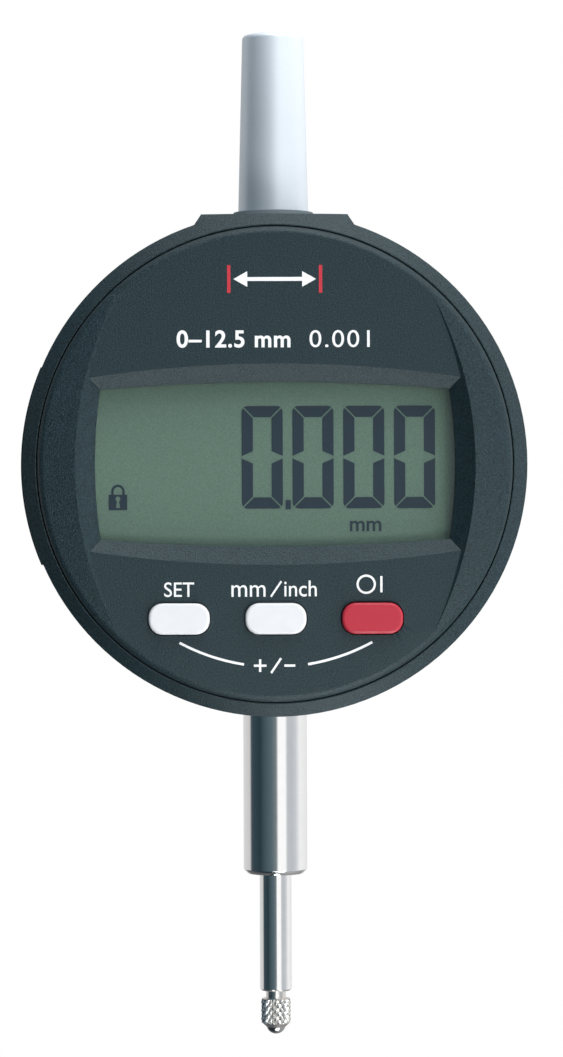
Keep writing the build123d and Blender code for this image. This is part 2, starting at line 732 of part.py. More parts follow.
def dome_switch(x):
    dome_y = DISPLAY_BOARD_FRONT_Y - 0.4
    return rod_y(2.0, dome_y, DISPLAY_BOARD_FRONT_Y, x, KEY_Z)


def keypad_spacer():
    """The insulating sheet with a hole round each dome."""
    sheet = Pos(0, KEY_Z + 0.4) * RectangleRounded(31.0, 5.8, 1.0)
    for x in key_places():
        sheet -= Pos(x, KEY_Z) * Circle(2.1)
    return prism(sheet, DISPLAY_BOARD_FRONT_Y - 0.25, DISPLAY_BOARD_FRONT_Y)


def key_cap(x):
    """A key with a retaining flange and a stub that stops just short of its dome."""
    stub_end_y = DISPLAY_BOARD_FRONT_Y - 0.4 - KEY_TRAVEL - 0.05
    key = prism(key_outline(), KEY_FRONT_Y, PLATE_BACK_Y + 0.05)
    key = fillet(key.faces().sort_by(Axis.Y)[0].edges(), 0.35)
    key += prism(key_outline(0.5), PLATE_BACK_Y + 0.05, PLATE_BACK_Y + 0.6)
    key = Pos(x, 0, KEY_Z) * key
    return key + rod_y(1.4, PLATE_BACK_Y + 0.6, stub_end_y, x, KEY_Z)


def head_back_plate():
    plate = rod_y(HEAD_INNER_R - 0.1, BACK_PLATE_FRONT_Y, HEAD_BACK_Y)
    for x, z in HEAD_POSTS_XZ:
        plate += rod_y(HEAD_POST_R, DISPLAY_BOARD_BACK_Y, BACK_PLATE_FRONT_Y, x, z)
        plate -= rod_y(HEAD_SCREW_R, DISPLAY_BOARD_BACK_Y - 1, HEAD_BACK_Y + 1, x, z)
        plate -= rod_y(1.35, HEAD_BACK_Y - 0.55, HEAD_BACK_Y + 1, x, z)
    return plate - rod_y(CABLE_HOLE_R, BACK_PLATE_FRONT_Y - 1, HEAD_BACK_Y + 1)


def head_screw(x, z):
    seat_y = HEAD_BACK_Y - 0.55
    return pan_screw(x, z, PLATE_BACK_Y + 0.6, seat_y, HEAD_SCREW_R, 1.3, 0.5)


def head_o_ring():
    """A rubber ring that seals the head in its bore and gives it friction."""
    centre_r = HEAD_BORE_R - ORING_WIRE_R - 0.02
    return Pos(0, ORING_Y, 0) * Rot(90, 0, 0) * Torus(centre_r, ORING_WIRE_R)


def snap_ring():
    """The split ring that keeps the head in the case and lets it turn."""
    ring = tube_y(SNAP_R[1], SNAP_R[0], *SNAP_Y)
    return ring - block(-1.5, 1.5, SNAP_Y[0] - 1, SNAP_Y[1] + 1, -CASE_R, 0)


# ---- all nodes --------------------------------------------------------------------------
def build():
    keys = key_places()
    shank_seat_y = BOARD_FRONT_Y + BOARD_THICK
    return {
        "case_housing": case_housing(),
        "back_cover": back_cover(),
        "cover_screws": [cover_screw(x, z) for x, z in post_places()],
        "cover_gasket": cover_gasket(),
        "clamping_stem": clamping_stem(),
        "stem_nut": stem_nut(),
        "lower_bushing": lower_bushing(),
        "upper_bushing": upper_bushing(),
        "wiper_seal": wiper_seal(),
        "stop_bumper": stop_bumper(),
        "guard_cap": guard_cap(),
        "cap_washer": cap_washer(),
        "snap_ring": snap_ring(),
        "guide_rail": guide_rail(),
        "rail_screws": [
            pan_screw(rail_mid_x(), z, DECK_BACK_Y - 0.8, RAIL_HALF_DEPTH, HEAD_SCREW_R, 1.2, 0.8)
            for z in rail_screw_heights()
        ],
        "sensor_standoffs": [standoff(x, z) for x, z in STANDOFFS_XZ],
        "sensor_board": sensor_board(),
        "reading_head": reading_head(),
        "sensor_screws": [
            pan_screw(x, z, 2.5, shank_seat_y, 0.8, 1.5, 1.0) for x, z in STANDOFFS_XZ
        ],
        "flex_cable": flex_cable(),
        "battery_bay": battery_bay(),
        "battery_contacts": battery_contacts(),
        "return_spring": return_spring(),
        "battery_drawer": battery_drawer(),
        "battery_cell": battery_cell(),
        "spindle": spindle(),
        "contact_point": contact_point(),
        "contact_ball": ball_solid(),
        "scale_carrier": scale_carrier(),
        "carrier_screws": [carrier_screw(z) for z in clamp_screw_heights()],
        "guide_pin": guide_pin(),
        "measuring_scale": measuring_scale(),
        "front_shell": front_shell(),
        "window_lens": window_lens(),
        "lcd_panel": lcd_panel(),
        "lcd_frame": lcd_frame(),
        "lcd_reflector": lcd_reflector(),
        "zebra_connectors": [zebra_connector(side) for side in (-1, 1)],
        "display_board": display_board(),
        "dome_switches": [dome_switch(x) for x in keys],
        "keypad_spacer": keypad_spacer(),
        "head_back_plate": head_back_plate(),
        "head_screws": [head_screw(x, z) for x, z in HEAD_POSTS_XZ],
        "head_o_ring": head_o_ring(),
        "set_button": key_cap(keys[0]),
        "unit_button": key_cap(keys[1]),
        "power_button": key_cap(keys[2]),
    }


os.makedirs("parts", exist_ok=True)
for node_name, node_shape in build().items():
    write(node_name, node_shape)
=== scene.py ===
"""Digital dial indicator: the looks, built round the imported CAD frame."""
import json
import math

import bmesh
import bpy
from mathutils import Matrix, Vector


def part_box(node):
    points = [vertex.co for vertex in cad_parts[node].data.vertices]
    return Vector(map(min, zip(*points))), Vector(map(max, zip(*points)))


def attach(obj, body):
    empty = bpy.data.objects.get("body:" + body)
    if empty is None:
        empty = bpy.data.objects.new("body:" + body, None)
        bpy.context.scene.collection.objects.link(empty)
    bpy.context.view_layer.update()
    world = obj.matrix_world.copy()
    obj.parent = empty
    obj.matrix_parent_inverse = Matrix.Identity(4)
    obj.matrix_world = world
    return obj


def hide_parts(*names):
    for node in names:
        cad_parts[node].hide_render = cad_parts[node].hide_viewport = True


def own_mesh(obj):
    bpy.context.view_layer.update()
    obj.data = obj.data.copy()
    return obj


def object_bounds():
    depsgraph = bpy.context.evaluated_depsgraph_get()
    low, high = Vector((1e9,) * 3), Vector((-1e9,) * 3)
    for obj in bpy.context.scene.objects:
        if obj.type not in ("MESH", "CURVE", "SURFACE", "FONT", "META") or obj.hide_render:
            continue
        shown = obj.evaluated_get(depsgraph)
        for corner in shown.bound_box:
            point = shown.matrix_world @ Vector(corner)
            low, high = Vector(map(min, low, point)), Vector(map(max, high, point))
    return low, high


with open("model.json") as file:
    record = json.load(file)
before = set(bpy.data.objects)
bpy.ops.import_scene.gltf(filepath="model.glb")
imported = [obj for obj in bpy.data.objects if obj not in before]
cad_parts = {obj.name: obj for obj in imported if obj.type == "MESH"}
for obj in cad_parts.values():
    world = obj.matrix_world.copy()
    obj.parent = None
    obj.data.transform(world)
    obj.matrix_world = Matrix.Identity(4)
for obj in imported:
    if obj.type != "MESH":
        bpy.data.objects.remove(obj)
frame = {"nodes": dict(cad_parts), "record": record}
cad_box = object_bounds()

MM = 0.001


def in_mm(value):
    return value / MM


# ---- places, read from the frame (millimetres) ----------------------------------------------
SHELL_LO, SHELL_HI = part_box("front_shell")
CENTRE_Z = in_mm(SHELL_LO.z + SHELL_HI.z) / 2
LCD_Y = in_mm(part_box("lcd_panel")[0].y)
LENS_BACK_Y = in_mm(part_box("window_lens")[1].y)
STEM_END_Z, STEM_TOP_Z = (in_mm(corner.z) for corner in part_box("clamping_stem"))
BUSH_TOP_Z = in_mm(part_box("lower_bushing")[1].z)
CAP_BASE_Z, CAP_TOP_Z = (in_mm(corner.z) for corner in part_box("guard_cap"))
SPINDLE_END_Z, SPINDLE_TOP_Z = (in_mm(corner.z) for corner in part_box("spindle"))
SEAT_END_Z, STUD_END_Z = (in_mm(corner.z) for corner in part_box("contact_point"))
BALL_END_Z, BALL_TOP_Z = (in_mm(corner.z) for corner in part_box("contact_ball"))
SPRING_LO, SPRING_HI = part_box("return_spring")
KEY_NODES = ("set_button", "unit_button", "power_button")
KEY_XS = [in_mm(sum(corner.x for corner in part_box(node)) / 2) for node in KEY_NODES]

# ---- sizes that the frame doesn't hold (millimetres) ----------------------------------------
BAND_Y = -13.35
PRINT_THICK = 0.02
LATHE_STEPS = 192
STEM_R = 4.0
STEM_NECK_R = 3.5
STEM_SHOULDER_BELOW_CENTRE = 30.45
STEM_BORE_R = 2.6
BUSH_R = 3.0
CAP_BASE_R = 4.4
CAP_TOP_R = 3.85
CAP_CROWN = 0.6
CAP_BORE_R = 2.6
CAP_SOCKET_R = 3.22
CAP_SOCKET_ABOVE_CENTRE = 34.5
CAP_WALL = 1.0
SPINDLE_R = 2.0
STUD_R = 1.0
TIP_NECK_R = 1.25
TIP_NECK_LENGTH = 1.05
KNURL_R = 1.87
KNURL_LENGTH = 3.05
KNURL_COUNT = 16
KNURL_PITCH = 1.03
KNURL_DEPTH = 0.24
KNURL_FLAT = 0.2

# display and printing; X and Z are measured from the case centre
# painted shade at the display's lower edge: where it starts below the case centre, and how far up it fades
LCD_SHADE_BELOW = 10.3
LCD_SHADE_FADE = 1.6
# where the painted reflection on the lens's right-hand end fades in
LENS_REFLECTION_X = (20.7, 21.8)
DIGIT_H = 12.6
DIGIT_W = 5.05
DIGIT_PITCH = 6.24
DIGIT_FIRST_X = -1.57
DIGIT_Z = 0.88
DIGIT_COUNT = 4
POINT_X = 1.6
POINT_Z = -4.94
UNIT_X = 11.1
UNIT_Z = -7.6
PADLOCK_X = -19.3
PADLOCK_Z = -4.0
DIGIT_CORNER_R = 0.75
SEGMENT = 1.38
SEGMENT_GAP = 0.17
TRAVEL_MARK_Z = 22.6
RANGE_X = -5.05
RANGE_Z = 15.3
RESOLUTION_X = 7.9
LABEL_Z = -15.3
MM_LABEL_X = -3.33
INCH_LABEL_X = 3.02
POWER_RING_X = 11.05
POWER_BAR_X = 12.9
POWER_Z = LABEL_Z + 0.6
SIGN_Z = -24.6
BRACKET_R = 24.75
BRACKET_ARCS = ((241.6, 260.9), (279.1, 298.4))
PRINT_LINE = 0.27

FLOOR_DROP = 60.0
CAMERA_DISTANCE = 450.0
CAMERA_LENS = 121.8
CAMERA_TARGET_X = 0.9
CAMERA_TARGET_BELOW = 7.95


# ==== node helpers ============================================================================
class Graph:
    """A node tree with short ways to add and join nodes."""

    def __init__(self, tree):
        self.tree = tree
        self.tree.nodes.clear()

    def add(self, kind, inputs=None, **settings):
        node = self.tree.nodes.new(kind)
        for name, value in settings.items():
            setattr(node, name, value)
        for name, value in (inputs or {}).items():
            self.put(node.inputs[name], value)
        return node

    def put(self, socket, value):
        if isinstance(value, bpy.types.NodeSocket):
            self.tree.links.new(value, socket)
        else:
            socket.default_value = value

    def math(self, operation, a, b=0.0):
        node = self.add("ShaderNodeMath", operation=operation)
        self.put(node.inputs[0], a)
        self.put(node.inputs[1], b)
        return node.outputs[0]

    def place(self):
        """Where a point is on its piece, in metres; it rides with the piece."""
        return self.add("ShaderNodeTexCoord").outputs["Object"]

    def stretched(self, vector, scale):
        return self.add("ShaderNodeMapping", {"Vector": vector, "Scale": scale}).outputs["Vector"]

    def noise(self, vector, size, detail=3.0, roughness=0.55):
        """Smooth noise whose lumps are about size millimetres across."""
        inputs = {"Vector": vector, "Scale": 1.0 / (size * MM), "Detail": detail, "Roughness": roughness}
        return self.add("ShaderNodeTexNoise", inputs).outputs["Fac"]

    def cells(self, vector, size):
        inputs = {"Vector": vector, "Scale": 1.0 / (size * MM)}
        return self.add("ShaderNodeTexVoronoi", inputs).outputs["Distance"]

    def ramp(self, value, stops):
        """A colour ramp; a stop is (position, grey level) or (position, colour)."""
        node = self.add("ShaderNodeValToRGB", {"Fac": value})
        elements = node.color_ramp.elements
        while len(elements) < len(stops):
            elements.new(0.5)
        for element, (position, level) in zip(elements, stops):
            colour = (level, level, level) if isinstance(level, (int, float)) else level
            element.position = position
            element.color = (*colour, 1.0)
        return node.outputs["Color"]

    def spread(self, value, low, high, from_low=0.0, from_high=1.0):
        """Map from_low..from_high to low..high."""
        inputs = {"Value": value, "From Min": from_low, "From Max": from_high, "To Min": low, "To Max": high}
        return self.add("ShaderNodeMapRange", inputs).outputs["Result"]

    def mix(self, factor, a, b):
        node = self.add("ShaderNodeMix", data_type="RGBA")
        self.put(node.inputs["Factor"], factor)
        self.put(node.inputs[6], a)
        self.put(node.inputs[7], b)
        return node.outputs[2]

    def bump(self, height, depth, strength=1.0, normal=None):
        inputs = {"Height": height, "Distance": depth * MM, "Strength": strength}
        if normal is not None:
            inputs["Normal"] = normal
        return self.add("ShaderNodeBump", inputs).outputs["Normal"]

    def rounded(self, radius):
        """A normal that softens hard edges over a radius in millimetres."""
        return self.add("ShaderNodeBevel", {"Radius": radius * MM}, samples=4).outputs["Normal"]

    def principled(self, **inputs):
        return self.add("ShaderNodeBsdfPrincipled", {k.replace("_", " "): v for k, v in inputs.items()})

    def finish(self, shader):
        self.add("ShaderNodeOutputMaterial", {"Surface": shader})


def new_graph(name):
    material = bpy.data.materials.new(name)
    material.use_nodes = True
    return material, Graph(material.node_tree)


def shade(colour, factor=1.0):
    """A colour made lighter or darker, with alpha."""
    return (*(min(1.0, c * factor) for c in colour), 1.0)


# ==== materials ===============================================================================
def moulded_plastic(name, colour, grain=0.15, depth=0.06, roughness=0.42, contrast=0.85):
    """Matt moulded plastic with a spark-eroded grain."""
    material, g = new_graph(name)
    at = g.place()
    fine = g.noise(at, grain, detail=2.0)
    pits = g.cells(at, grain * 1.7)
    cloud = g.noise(at, 9.0, detail=2.0)
    height = g.math("ADD", fine, g.math("MULTIPLY", pits, 0.5))
    normal = g.bump(height, depth, 0.8)
    speckle = g.ramp(fine, [(0.32, 0.0), (0.7, 1.0)])
    tone = g.mix(speckle, shade(colour, 1.0 - contrast), shade(colour, 1.0 + contrast))
    tone = g.mix(g.spread(cloud, 0.0, 0.2), tone, shade(colour, 0.85))
    rough = g.spread(fine, roughness - 0.06, roughness + 0.1)
    bsdf = g.principled(Base_Color=tone, Roughness=rough, Normal=normal, Specular_Tint=(0.86, 0.97, 1.0, 1.0))
    g.finish(bsdf.outputs[0])
    return material


def smooth_plastic(name, colour, roughness=0.32, edge=0.1):
    """Satin plastic with faint flow marks and a fine skin."""
    material, g = new_graph(name)
    at = g.place()
    flow = g.noise(at, 1.6, detail=3.0)
    skin = g.noise(at, 0.12, detail=2.0)
    normal = g.bump(skin, 0.004, 0.6, g.rounded(edge))
    tone = g.mix(flow, shade(colour, 0.95), shade(colour, 1.04))
    rough = g.spread(flow, roughness - 0.05, roughness + 0.07)
    g.finish(g.principled(Base_Color=tone, Roughness=rough, Normal=normal).outputs[0])
    return material


def turned_metal(name, colour, roughness=0.16, ring=0.05, depth=0.0006, cloud=0.06):
    """Ground or turned metal: very fine rings round the spindle's axis and slight handling marks."""
    material, g = new_graph(name)
    at = g.place()
    rings = g.noise(g.stretched(at, (0.02, 0.02, 1.0)), ring, detail=4.0, roughness=0.7)
    marks = g.noise(at, 1.3, detail=5.0, roughness=0.65)
    height = g.math("ADD", rings, g.math("MULTIPLY", marks, 0.3))
    tone = g.mix(marks, shade(colour, 1.0 - cloud), shade(colour, 1.0 + cloud))
    blend = g.math("MULTIPLY", g.math("ADD", rings, marks), 0.5)
    rough = g.spread(blend, roughness * 0.7, roughness * 1.4)
    normal = g.bump(height, depth, 0.7)
    g.finish(g.principled(Base_Color=tone, Metallic=1.0, Roughness=rough, Normal=normal).outputs[0])
    return material


def satin_silver(name, colour):
    """Bead-blasted silver skin with barely visible clouding."""
    material, g = new_graph(name)
    at = g.place()
    bead = g.noise(at, 0.16, detail=2.0)
    cloud = g.noise(at, 5.0, detail=2.0)
    tone = g.mix(bead, shade(colour, 0.95), shade(colour, 1.05))
    rough = g.spread(cloud, 0.38, 0.46)
    normal = g.bump(bead, 0.005, 0.7)
    g.finish(g.principled(Base_Color=tone, Metallic=0.5, Roughness=rough, Normal=normal).outputs[0])
    return material


def rubber(name, colour):
    material, g = new_graph(name)
    grain = g.noise(g.place(), 0.1, detail=3.0)
    tone = g.mix(grain, shade(colour, 0.8), shade(colour, 1.3))
    rough = g.spread(grain, 0.55, 0.8)
    g.finish(g.principled(Base_Color=tone, Roughness=rough, Normal=g.bump(grain, 0.01, 0.6)).outputs[0])
    return material


def clear_window(name):
    """Thin clear acrylic with hair-fine wipe marks, and a painted reflection near its right-hand end: a grey
    diffuse haze stands in for light off the lens's rim.
    """
    material, g = new_graph(name)
    marks = g.noise(g.stretched(g.place(), (0.3, 1.0, 1.0)), 0.5, detail=4.0)
    clear = g.add("ShaderNodeBsdfTransparent", {"Color": (0.985, 0.992, 0.988, 1.0)})
    gloss = g.add("ShaderNodeBsdfGlossy", {"Roughness": g.spread(marks, 0.05, 0.12)})
    fresnel = g.add("ShaderNodeFresnel", {"IOR": 1.3, "Normal": g.bump(marks, 0.0005, 0.4)})
    inner_side = g.add("ShaderNodeNewGeometry").outputs["Backfacing"]
    share = g.math("MULTIPLY", fresnel.outputs[0], g.math("SUBTRACT", 1.0, inner_side))
    mixed = g.add("ShaderNodeMixShader", {0: share, 1: clear.outputs[0], 2: gloss.outputs[0]})
    # painted reflection: a grey diffuse haze across the lens's right-hand end stands in for light that its
    # rim reflects
    across = g.add("ShaderNodeSeparateXYZ", {"Vector": g.place()}).outputs["X"]
    reflection_share = g.spread(across, 0.0, 0.3, *(x * MM for x in LENS_REFLECTION_X))
    painted_reflection = g.add("ShaderNodeBsdfDiffuse", {"Color": (0.10, 0.125, 0.125, 1.0)})
    with_reflection = g.add("ShaderNodeMixShader", {0: reflection_share, 1: mixed.outputs[0], 2: painted_reflection.outputs[0]})
    g.finish(with_reflection.outputs[0])
    return material


def lcd_face(name, colour):
    """The display's grey-green reflector seen through its polariser: a fine mottle, and painted shade that
    darkens it low down.
    """
    material, g = new_graph(name)
    at = g.place()
    mottle = g.noise(at, 0.17, detail=3.0, roughness=0.6)
    drift = g.noise(at, 7.0, detail=1.0)
    tone = g.mix(mottle, shade(colour, 0.6), shade(colour, 1.4))
    tone = g.mix(g.spread(drift, 0.0, 0.3), tone, shade(colour, 0.93))
    height = g.add("ShaderNodeSeparateXYZ", {"Vector": at}).outputs["Z"]
    # painted shade: a shadow of the window's bottom frame, darkening the display towards its lower edge
    foot = (CENTRE_Z - LCD_SHADE_BELOW) * MM
    shadow = g.spread(height, 0.3, 0.0, foot, foot + LCD_SHADE_FADE * MM)
    tone = g.mix(shadow, tone, shade((0.06, 0.10, 0.12)))
    g.finish(g.principled(Base_Color=tone, Roughness=0.6, Specular_IOR_Level=0.15).outputs[0])
    return material


def ink(name, colour, roughness=0.6, patch_size=0.15):
    """Pad-printed ink, or a dark display segment, with a slight unevenness."""
    material, g = new_graph(name)
    patch = g.noise(g.place(), patch_size, detail=2.0)
    tone = g.mix(patch, shade(colour, 0.93), shade(colour, 1.05))
    normal = g.bump(patch, 0.003, 0.4)
    g.finish(g.principled(Base_Color=tone, Roughness=roughness, Normal=normal).outputs[0])
    return material


MATERIALS = {
    "case_plastic": moulded_plastic("case_plastic", (0.0125, 0.0270, 0.0330)),
    "head_plastic": moulded_plastic("head_plastic", (0.0125, 0.0270, 0.0330)),
    "drawer_plastic": moulded_plastic("drawer_plastic", (0.0100, 0.0218, 0.0268)),
    "bay_plastic": moulded_plastic("bay_plastic", (0.05, 0.05, 0.05)),
    "cap_metal": satin_silver("cap_metal", (0.82, 0.88, 0.94)),
    "stem_steel": turned_metal("stem_steel", (0.95, 0.95, 0.95), roughness=0.11),
    "spindle_steel": turned_metal("spindle_steel", (0.95, 0.95, 0.95), roughness=0.09),
    "tip_steel": turned_metal("tip_steel", (0.78, 0.76, 0.73), roughness=0.22),
    "ball_steel": turned_metal("ball_steel", (0.72, 0.72, 0.72), roughness=0.08),
    "bush_bronze": turned_metal("bush_bronze", (0.6, 0.42, 0.2), roughness=0.3),
    "nut_brass": turned_metal("nut_brass", (0.7, 0.55, 0.26), roughness=0.28),
    "screw_steel": turned_metal("screw_steel", (0.16, 0.16, 0.17), roughness=0.35),
    "spring_steel": turned_metal("spring_steel", (0.5, 0.5, 0.5), roughness=0.25),
    "rail_steel": turned_metal("rail_steel", (0.45, 0.45, 0.46), roughness=0.25),
    "carrier_metal": turned_metal("carrier_metal", (0.6, 0.61, 0.63), roughness=0.35),
    "contact_metal": turned_metal("contact_metal", (0.8, 0.62, 0.25), roughness=0.25),
    "cell_steel": turned_metal("cell_steel", (0.7, 0.7, 0.7), roughness=0.2),
    "scale_glass": smooth_plastic("scale_glass", (0.55, 0.6, 0.62), 0.1),
    "seal_rubber": rubber("seal_rubber", (0.012, 0.012, 0.013)),
    "washer_rubber": rubber("washer_rubber", (0.10, 0.13, 0.145)),
    "conductive_rubber": rubber("conductive_rubber", (0.2, 0.2, 0.2)),
    "lens_plastic": clear_window("lens_plastic"),
    "lcd": lcd_face("lcd", (0.126, 0.188, 0.152)),
    "white_plastic": smooth_plastic("white_plastic", (0.8, 0.8, 0.78)),
    "white_key": smooth_plastic("white_key", (0.76, 0.77, 0.79)),
    "red_key": smooth_plastic("red_key", (0.46, 0.028, 0.050)),
    "board_green": smooth_plastic("board_green", (0.01, 0.12, 0.05), 0.3),
    "chip_black": smooth_plastic("chip_black", (0.02, 0.02, 0.02), 0.4),
    "ribbon_film": smooth_plastic("ribbon_film", (0.45, 0.2, 0.03), 0.2),
    "print_white": ink("print_white", (0.90, 0.91, 0.92)),
    "print_red": ink("print_red", (0.55, 0.03, 0.05)),
    "segment": ink("segment", (0.012, 0.026, 0.042), 0.5, 0.3),
}


# ==== mesh helpers ============================================================================
def new_piece(name, mesh, body, slot, material=None, stands_for=()):
    """Put a finished mesh in the scene, on its body and with its finish."""
    piece = bpy.data.objects.new(name, mesh)
    bpy.context.scene.collection.objects.link(piece)
    mesh.materials.clear()
    mesh.materials.append(MATERIALS[material or slot])
    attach(piece, body)
    if stands_for:
        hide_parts(*stands_for)
    return piece


def smooth_by_angle(mesh, degrees):
    """Smooth shading that keeps real edges crisp."""
    for face in mesh.polygons:
        face.use_smooth = True
    mesh.set_sharp_from_angle(angle=math.radians(degrees))


def mesh_from(bm, name, sharp_degrees=32):
    bmesh.ops.recalc_face_normals(bm, faces=bm.faces)
    mesh = bpy.data.meshes.new(name)
    bm.to_mesh(mesh)
    bm.free()
    smooth_by_angle(mesh, sharp_degrees)
    return mesh


def lathe(name, profile, steps=LATHE_STEPS, shape=None):
    """Turn a (radius, z) profile about Z.  It starts and ends on the axis, or closes on itself.

    shape(radius, z, angle), if given, returns the radius at each turned point."""
    bm = bmesh.new()
    rings = []
    for radius, z in profile:
        if radius < 1e-6:
            rings.append([bm.verts.new((0, 0, z * MM))])
            continue
        ring = []
        for step in range(steps):
            angle = 2 * math.pi * step / steps
            r = shape(radius, z, angle) if shape else radius
            ring.append(bm.verts.new((r * math.cos(angle) * MM, r * math.sin(angle) * MM, z * MM)))
        rings.append(ring)
    pairs = list(zip(rings, rings[1:]))
    if len(rings[0]) > 1:
        pairs.append((rings[-1], rings[0]))
    for low, high in pairs:
        for step in range(steps):
            after = (step + 1) % steps
            corners = [low[step % len(low)], low[after % len(low)]]
            corners += [high[after % len(high)], high[step % len(high)]]
            unique = list(dict.fromkeys(corners))
            if len(unique) > 2:
                bm.faces.new(unique)
    return mesh_from(bm, name)


def round_points(centre_r, centre_z, radius, start_deg, end_deg, count=6):
    """Profile points round an arc, angles measured from outwards towards +Z."""
    points = []
    for i in range(count + 1):
        angle = math.radians(start_deg + (end_deg - start_deg) * i / count)
        points.append((centre_r + radius * math.cos(angle), centre_z + radius * math.sin(angle)))
    return points


def slab(name, outlines, front_y, thick):
    """Flat pieces cut to closed (x, z) outlines about the case centre, front face at front_y."""
    bm = bmesh.new()
    for outline in outlines:
        front, back = (
            [bm.verts.new((x * MM, y * MM, (z + CENTRE_Z) * MM)) for x, z in outline]
            for y in (front_y, front_y + thick)
        )
        bm.faces.new(front)
        bm.faces.new(list(reversed(back)))
        for i, corner in enumerate(front):
            j = (i + 1) % len(front)
            bm.faces.new([corner, front[j], back[j], back[i]])
    return mesh_from(bm, name)


def strip_outline(points, width):
    """The outline of a line of constant width along (x, z) points."""
    left, right = [], []
    for i, (x, z) in enumerate(points):
        before = Vector(points[max(i - 1, 0)])
        after = Vector(points[min(i + 1, len(points) - 1)])
        along = (after - before).normalized() * width / 2
        left.append((x - along.y, z + along.x))
        right.append((x + along.y, z - along.x))
    return left + list(reversed(right))


def arc_points(radius, start_deg, end_deg, centre=(0.0, 0.0), count=24):
    return round_points(*centre, radius, start_deg, end_deg, count)


def ring_outlines(radius, width, centre):
    """A ring as two half strips."""
    return [strip_outline(arc_points(radius, start, start + 180, centre, 48), width) for start in (0, 180)]


def rectangle(x, z, half_w, half_h):
    left, right, bottom, top = x - half_w, x + half_w, z - half_h, z + half_h
    return [(left, bottom), (right, bottom), (right, top), (left, top)]


def lettering(name, text, height, x, z, front_y, thick=PRINT_THICK, bold=0.0, spacing=1.0, squeeze=1.0):
    """Generic lettering as a thin solid, centred on (x, z) about the case centre, facing -Y."""
    curve = bpy.data.curves.new(name, "FONT")
    curve.body = text
    curve.size = 1.0
    curve.space_character = spacing
    curve.offset = bold
    curve.extrude = 0.5
    curve.resolution_u = 6
    helper = bpy.data.objects.new(name + "_curve", curve)
    bpy.context.scene.collection.objects.link(helper)
    bpy.context.view_layer.update()
    graph = bpy.context.evaluated_depsgraph_get()
    mesh = bpy.data.meshes.new_from_object(helper.evaluated_get(graph))
    mesh.name = name
    bpy.data.objects.remove(helper)
    xs = [v.co.x for v in mesh.vertices]
    ys = [v.co.y for v in mesh.vertices]
    mid_x, mid_y = (min(xs) + max(xs)) / 2, (min(ys) + max(ys)) / 2
    scale = height / (max(ys) - min(ys))
    for vertex in mesh.vertices:
        flat = vertex.co.copy()
        vertex.co = Vector((
            (x + (flat.x - mid_x) * scale * squeeze) * MM,
            (front_y + thick / 2 - flat.z * thick) * MM,
            (z + CENTRE_Z + (flat.y - mid_y) * scale) * MM,
        ))
    bm = bmesh.new()
    bm.from_mesh(mesh)
    bmesh.ops.remove_doubles(bm, verts=bm.verts, dist=0.0005 * MM)
    bmesh.ops.recalc_face_normals(bm, faces=bm.faces)
    bm.to_mesh(mesh)
    bm.free()
    return mesh


# ==== CAD nodes keep their shape and get their finish =========================================
SOFT_EDGES = {
    "case_housing": 0.14,
    "front_shell": 0.10,
    "back_cover": 0.08,
    "battery_drawer": 0.12,
    "cap_washer": 0.06,
}


def soften_edges(item, width):
    """Round a CAD node's hard edges by a small radius, with modifiers alone."""
    weld = item.modifiers.new("weld", "WELD")
    weld.merge_threshold = 0.0005 * MM
    bevel = item.modifiers.new("edge_round", "BEVEL")
    bevel.width = width * MM
    bevel.segments = 3
    bevel.limit_method = "ANGLE"
    bevel.angle_limit = math.radians(28)
    bevel.miter_outer = "MITER_ARC"
    normals = item.modifiers.new("normals", "WEIGHTED_NORMAL")
    normals.weight = 60


def dress_cad_nodes():
    slots = {row["node"]: row["material_slot"] for row in frame["record"]["subparts"]}
    for node, item in frame["nodes"].items():
        finish = "washer_rubber" if node == "cap_washer" else slots[node]
        item.data.materials.clear()
        item.data.materials.append(MATERIALS[finish])
        if node in SOFT_EDGES:
            for face in item.data.polygons:
                face.use_smooth = True
            soften_edges(item, SOFT_EDGES[node])
        else:
            smooth_by_angle(item.data, 25)


# ==== turned metal parts ======================================================================
def turned_piece(name, profile, body, slot, node, **how):
    """A lathed piece that stands for one CAD node."""
    new_piece(name, lathe(name, profile, **how), body, slot, stands_for=[node])


def guard_cap():
    """Slim tapered cap with a rounded crown, threaded socket and hollow inside."""
    edge = 0.12
    socket_top = CENTRE_Z + CAP_SOCKET_ABOVE_CENTRE
    profile = [(0.0, CAP_TOP_Z - CAP_WALL), (CAP_BORE_R, CAP_TOP_Z - CAP_WALL)]
    profile += [(CAP_BORE_R, socket_top), (CAP_SOCKET_R, socket_top), (CAP_SOCKET_R, CAP_BASE_Z)]
    profile += round_points(CAP_BASE_R - edge, CAP_BASE_Z + edge, edge, -90, 0, 4)
    profile += round_points(CAP_TOP_R - CAP_CROWN, CAP_TOP_Z - CAP_CROWN, CAP_CROWN, 0, 90, 8)
    profile.append((0.0, CAP_TOP_Z))
    turned_piece("guard_cap_turned", profile, "case_body", "cap_metal", "guard_cap")


def clamping_stem():
    """The ground stem: a chamfered lower rim, a stepped bore and a neck inside the case."""
    shoulder = CENTRE_Z - STEM_SHOULDER_BELOW_CENTRE
    chamfer, edge = 0.5, 0.06
    profile = [
        (STEM_BORE_R, STEM_TOP_Z),
        (STEM_BORE_R, BUSH_TOP_Z),
        (BUSH_R, BUSH_TOP_Z),
        (BUSH_R, STEM_END_Z),
        (STEM_R - chamfer - edge, STEM_END_Z),
        (STEM_R - chamfer, STEM_END_Z + edge / 2),
        (STEM_R - edge, STEM_END_Z + chamfer - edge / 2),
        (STEM_R, STEM_END_Z + chamfer + edge),
        (STEM_R, shoulder),
        (STEM_NECK_R, shoulder),
        (STEM_NECK_R, STEM_TOP_Z),
    ]
    turned_piece("clamping_stem_ground", profile, "case_body", "stem_steel", "clamping_stem")


